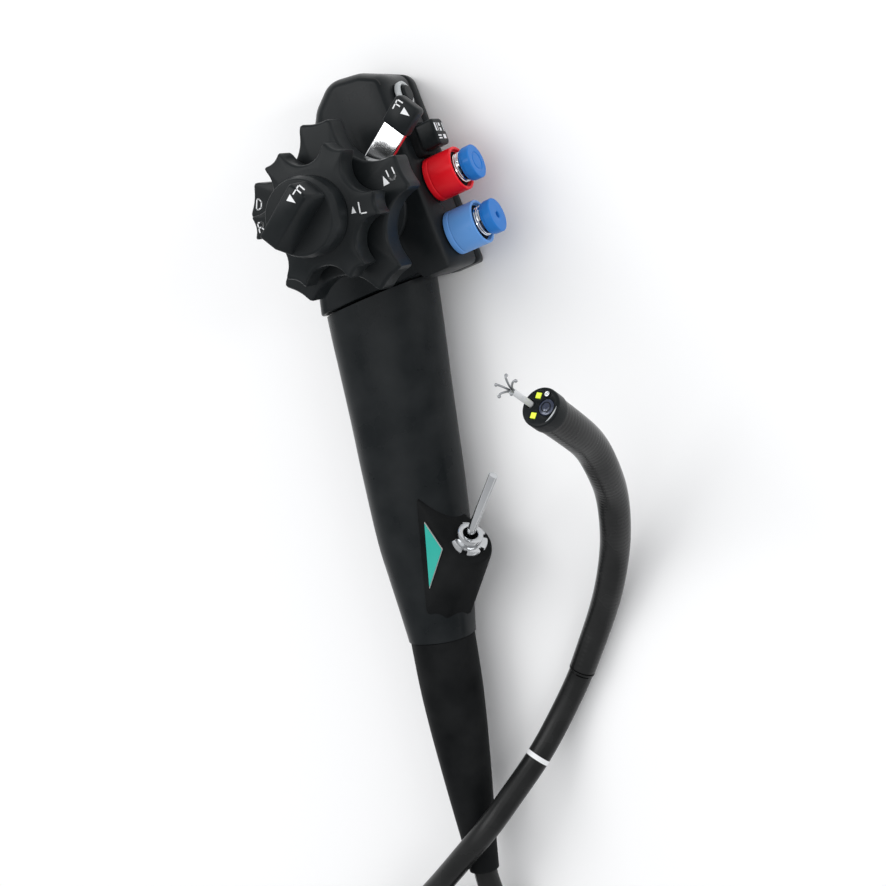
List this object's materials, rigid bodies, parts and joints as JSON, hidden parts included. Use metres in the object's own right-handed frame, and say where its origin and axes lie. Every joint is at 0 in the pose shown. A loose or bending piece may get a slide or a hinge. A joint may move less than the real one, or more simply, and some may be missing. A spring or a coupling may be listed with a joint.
{
  "type": "flexible endoscope",
  "caption": "Flexible endoscope lying on its back: control head with angulation wheels and valves, grip with instrument port, coiled insertion tube, bending section and camera tip.",
  "frame": {"origin": "foot of the control wheels' axis, on the plane that the instrument lies on", "axes": "+Z along the wheels' axis, up; +Y up the grip to the control head; +X to the valve side"},
  "size_m": [0.1731, 0.434, 0.0943],
  "materials": {
    "housing_black": "semi-gloss moulded plastic",
    "knob_black": "satin moulded plastic",
    "boot_black": "matt rubber",
    "tube_black": "smooth satin sheath",
    "chrome": "polished",
    "steel": "machined",
    "brass": "turned",
    "red": "moulded",
    "pale_blue": "moulded",
    "blue": "moulded",
    "teal": "printed label stock, bare",
    "grey": "satin",
    "lens_glass": "coated glass",
    "lamp_yellow": "clear cover over a yellow emitter",
    "clear_tube": "translucent fluoropolymer"
  },
  "bodies": {
    "root": {"main_housing": "housing_black", "back_cover": "housing_black", "housing_gasket": "boot_black", "chassis_plate": "steel", "cover_screw_1": "steel", "cover_screw_2": "steel", "cord_gland": "housing_black", "knob_spindle": "steel", "shaft_bush": "brass", "brake_housing": "knob_black", "ud_brake_disc": "boot_black", "suction_cylinder": "steel", "suction_collar": "red", "suction_spring": "chrome", "air_water_cylinder": "steel", "air_water_collar": "pale_blue", "air_water_spring": "chrome", "round_switch_ring": "grey", "grip_shell": "housing_black", "bend_boot": "boot_black", "channel_port": "chrome", "working_channel": "clear_tube", "port_label": "teal", "up_wire": "steel", "down_wire": "steel", "left_wire": "steel", "right_wire": "steel", "bend_mount": "steel", "bend_cover": "tube_black", "insertion_tube_out": "tube_black", "insertion_tube_coil": "tube_black", "insertion_tube_back": "tube_black"},
    "ud_knob": {"ud_wheel": "knob_black", "ud_shaft": "steel"},
    "rl_knob": {"rl_wheel": "knob_black", "rl_shaft": "steel"},
    "rl_lock": {"rl_lock_knob": "knob_black"},
    "ud_lock": {"ud_lock_lever": "chrome", "lever_tab": "knob_black"},
    "suction_button": {"suction_piston": "steel", "suction_cap": "blue"},
    "air_water_button": {"air_water_piston": "steel", "air_water_cap": "blue"},
    "round_switch": {"round_switch_button": "knob_black"},
    "box_switch": {"box_switch_key": "knob_black"},
    "forceps_handle": {"forceps_shaft": "steel"},
    "link_1": {"vertebra_01": "steel"},
    "link_2": {"vertebra_02": "steel"},
    "link_3": {"vertebra_03": "steel"},
    "link_4": {"vertebra_04": "steel"},
    "link_5": {"vertebra_05": "steel"},
    "link_6": {"vertebra_06": "steel"},
    "link_7": {"vertebra_07": "steel"},
    "tip": {"distal_body": "steel", "distal_cap": "housing_black", "objective_lens": "lens_glass", "led_window_1": "lamp_yellow", "led_window_2": "lamp_yellow", "air_water_nozzle": "chrome"},
    "forceps_end": {"forceps_tip": "steel"}
  },
  "joints": [
    {"name": "ud_wheel_turn", "type": "hinge", "parent": "root", "child": "ud_knob", "pos_m": [0, 0, 0.0515], "axis": [0, 0, 1], "range_deg": [-66.77, 64.66]},
    {"name": "rl_wheel_turn", "type": "hinge", "parent": "root", "child": "rl_knob", "pos_m": [0, 0, 0.0635], "axis": [0, 0, 1], "range_deg": [-54.02, 33.6]},
    {"name": "rl_lock_turn", "type": "hinge", "parent": "root", "child": "rl_lock", "pos_m": [0, 0, 0.074], "axis": [0, 0, 1], "range_deg": [-60, 30]},
    {"name": "ud_lock_turn", "type": "hinge", "parent": "root", "child": "ud_lock", "pos_m": [0, 0, 0.0438], "axis": [0, 0, 1], "range_deg": [-55, 0]},
    {"name": "suction_press", "type": "slide", "parent": "root", "child": "suction_button", "axis": [-0.9781, -0.2079, 0], "range_m": [0, 0.0028], "stiffness_N_per_m": 200, "deforming": ["suction_spring"]},
    {"name": "air_water_press", "type": "slide", "parent": "root", "child": "air_water_button", "axis": [-0.9781, -0.2079, 0], "range_m": [0, 0.0028], "stiffness_N_per_m": 200, "deforming": ["air_water_spring"]},
    {"name": "round_switch_press", "type": "slide", "parent": "root", "child": "round_switch", "axis": [-0.9781, -0.2079, 0], "range_m": [0, 0.0008], "stiffness_N_per_m": 500},
    {"name": "box_switch_press", "type": "slide", "parent": "root", "child": "box_switch", "axis": [-0.9781, -0.2079, 0], "range_m": [0, 0.0008], "stiffness_N_per_m": 500},
    {"name": "forceps_feed", "type": "slide", "parent": "root", "child": "forceps_handle", "axis": [-0.6004, -0.6804, -0.4203], "range_m": [-0.005, 0.01]},
    {"name": "ud_bend_1", "type": "hinge", "parent": "root", "child": "link_1", "pos_m": [0.05125, -0.15988, 0.0056], "axis": [0.8686, -0.4955, 0], "range_deg": [-38.15, 36.95], "deforming": ["bend_cover"]},
    {"name": "rl_bend_1", "type": "hinge", "parent": "link_1", "child": "link_2", "pos_m": [0.05831, -0.14749, 0.00958], "axis": [-0.1332, -0.2336, 0.9632], "range_deg": [-30.88, 19.23], "deforming": ["bend_cover"]},
    {"name": "ud_bend_2", "type": "hinge", "parent": "link_2", "child": "link_3", "pos_m": [0.06403, -0.13443, 0.01354], "axis": [0.9126, -0.408, 0.0273], "range_deg": [-38.15, 36.95], "deforming": ["bend_cover"]},
    {"name": "rl_bend_2", "type": "hinge", "parent": "link_3", "child": "link_4", "pos_m": [0.06902, -0.12278, 0.02119], "axis": [-0.2323, -0.4623, 0.8557], "range_deg": [-30.88, 19.23], "deforming": ["bend_cover"]},
    {"name": "ud_bend_3", "type": "hinge", "parent": "link_4", "child": "link_5", "pos_m": [0.0726, -0.11058, 0.02875], "axis": [0.942, -0.326, 0.0796], "range_deg": [-38.15, 36.95], "deforming": ["bend_cover"]},
    {"name": "rl_bend_3", "type": "hinge", "parent": "link_5", "child": "link_6", "pos_m": [0.07513, -0.10066, 0.03945], "axis": [-0.2889, -0.6671, 0.6867], "range_deg": [-30.88, 19.23], "deforming": ["bend_cover"]},
    {"name": "ud_bend_4", "type": "hinge", "parent": "link_6", "child": "link_7", "pos_m": [0.07623, -0.09031, 0.04997], "axis": [0.9545, -0.2563, 0.1525], "range_deg": [-38.15, 36.95], "deforming": ["bend_cover"]},
    {"name": "rl_bend_4", "type": "hinge", "parent": "link_7", "child": "tip", "pos_m": [0.07613, -0.08299, 0.06283], "axis": [-0.2982, -0.8306, 0.4703], "range_deg": [-30.88, 19.23], "deforming": ["bend_cover"]},
    {"name": "forceps_reach", "type": "slide", "parent": "tip", "child": "forceps_end", "axis": [-0.103, 0.5178, 0.8493], "range_m": [-0.0051, 0.0101]}
  ],
  "couplings": [
    {"joint": "ud_bend_1", "follows": "ud_wheel_turn", "ratio": 0.57065},
    {"joint": "rl_bend_1", "follows": "rl_wheel_turn", "ratio": 0.57065},
    {"joint": "ud_bend_2", "follows": "ud_wheel_turn", "ratio": 0.57065},
    {"joint": "rl_bend_2", "follows": "rl_wheel_turn", "ratio": 0.57065},
    {"joint": "ud_bend_3", "follows": "ud_wheel_turn", "ratio": 0.57065},
    {"joint": "rl_bend_3", "follows": "rl_wheel_turn", "ratio": 0.57065},
    {"joint": "ud_bend_4", "follows": "ud_wheel_turn", "ratio": 0.57065},
    {"joint": "rl_bend_4", "follows": "rl_wheel_turn", "ratio": 0.57065},
    {"joint": "forceps_reach", "follows": "forceps_feed", "ratio": 1}
  ]
}
